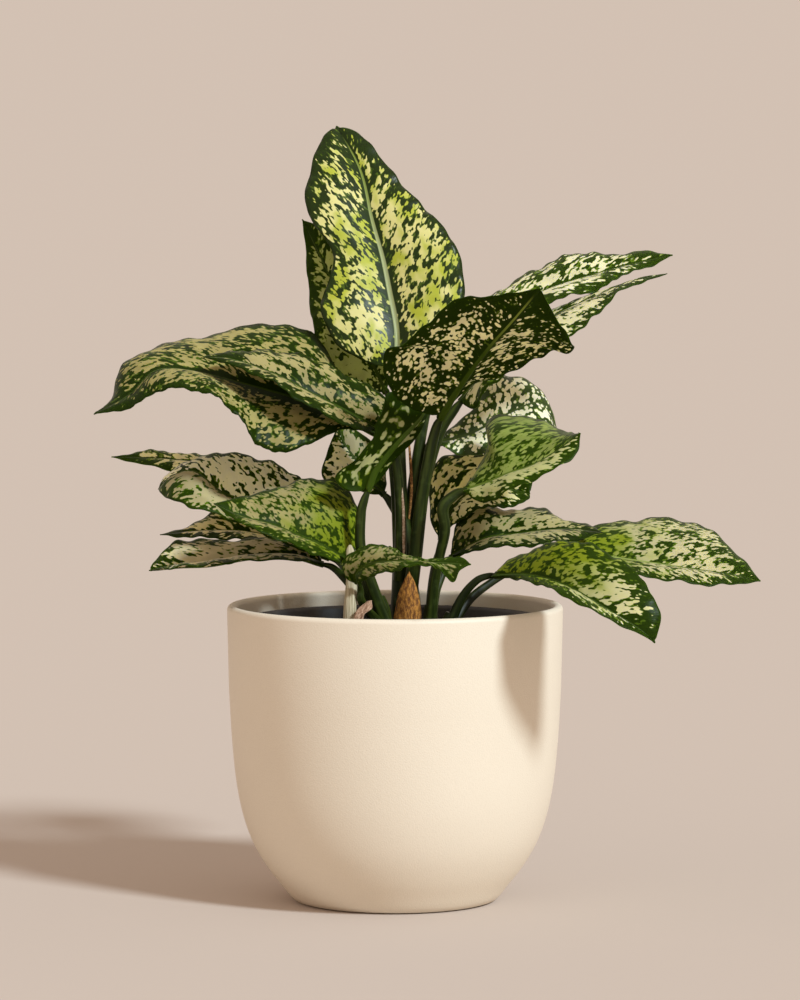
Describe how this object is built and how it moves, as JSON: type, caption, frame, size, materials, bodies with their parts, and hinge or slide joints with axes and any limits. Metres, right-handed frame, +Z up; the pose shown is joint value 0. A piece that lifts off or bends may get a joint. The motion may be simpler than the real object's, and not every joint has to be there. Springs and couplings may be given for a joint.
{
  "type": "potted chinese evergreen",
  "caption": "Chinese evergreen with broad cream-speckled dark green leaves on arching petioles, in a nursery pot inside a round-bottomed cream ceramic cachepot.",
  "frame": {"origin": "centre of the cachepot's foot, on the surface that it stands on", "axes": "+Z up along the pot's axis, +X to the right and -Y towards the viewer"},
  "size_m": [0.3753, 0.2151, 0.4392],
  "materials": {
    "cream_ceramic": "matte with a fine stipple",
    "black_plastic": "matte",
    "potting_soil": "loose crumbs",
    "petiole_green": "satin",
    "patterned_leaf": "satin, cream blotches on dark green",
    "brown_sheath": "papery",
    "pale_straw": "dry",
    "pink_straw": "papery"
  },
  "bodies": {
    "root": {"pot": "cream_ceramic", "grow_pot": "black_plastic", "soil": "potting_soil", "shoot_main": "petiole_green", "shoot_left": "petiole_green", "shoot_right": "petiole_green", "shoot_far_right": "petiole_green", "leaf_top": "patterned_leaf", "leaf_back": "patterned_leaf", "leaf_left": "patterned_leaf", "leaf_left_upper": "patterned_leaf", "leaf_front": "patterned_leaf", "leaf_upper_right": "patterned_leaf", "leaf_right_upper": "patterned_leaf", "leaf_right_back": "patterned_leaf", "leaf_right": "patterned_leaf", "leaf_centre_back": "patterned_leaf", "leaf_right_low_back": "patterned_leaf", "leaf_far_right": "patterned_leaf", "leaf_right_low": "patterned_leaf", "leaf_left_back": "patterned_leaf", "leaf_left_middle": "patterned_leaf", "leaf_left_front": "patterned_leaf", "leaf_left_low_back": "patterned_leaf", "leaf_left_low": "patterned_leaf", "leaf_small": "patterned_leaf", "leaf_centre": "patterned_leaf", "leaf_centre_left": "patterned_leaf", "dry_sheath": "brown_sheath", "dry_stalk": "pale_straw", "dry_scrap": "pink_straw"}
  },
  "joints": []
}
